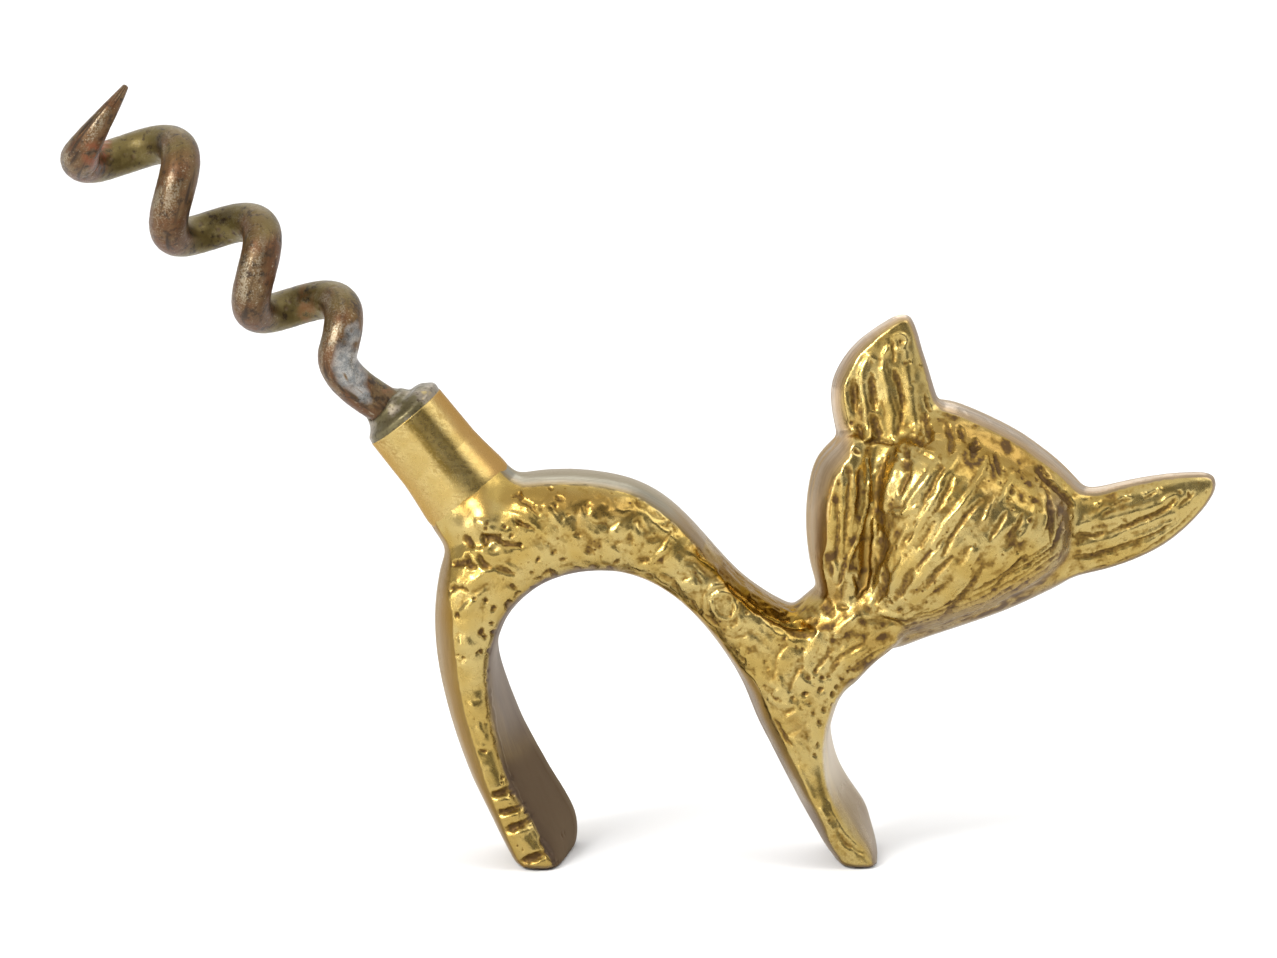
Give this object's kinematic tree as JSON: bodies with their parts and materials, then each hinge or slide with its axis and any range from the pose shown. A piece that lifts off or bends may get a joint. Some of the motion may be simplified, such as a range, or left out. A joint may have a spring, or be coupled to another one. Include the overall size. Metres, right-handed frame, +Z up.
{
  "type": "figural corkscrew",
  "caption": "Direct-pull corkscrew: a cast brass cat with an arched back as the handle, and a steel worm in a ferrule as its raised tail.",
  "frame": {"origin": "under the middle of the bounding box, on the plane of the soles", "axes": "+X from the worm's point towards the cat's outer ear, +Y from the back of the head to the face, +Z up from the soles"},
  "size_m": [0.107, 0.0208, 0.073],
  "materials": {
    "cast_brass": "sand-cast, polished bright with dark oxide left in the hollows",
    "turned_brass": "turned, then polished lengthwise",
    "braze_metal": "brazing brass, dressed smooth",
    "soft_solder": "dull grey tin solder, stained",
    "worn_steel": "plain steel wire, browned and finely pitted"
  },
  "bodies": {
    "root": {"cat_casting": "cast_brass", "worm_ferrule": "turned_brass", "braze_ring": "braze_metal", "solder_mound": "soft_solder", "steel_worm": "worn_steel"}
  },
  "joints": []
}
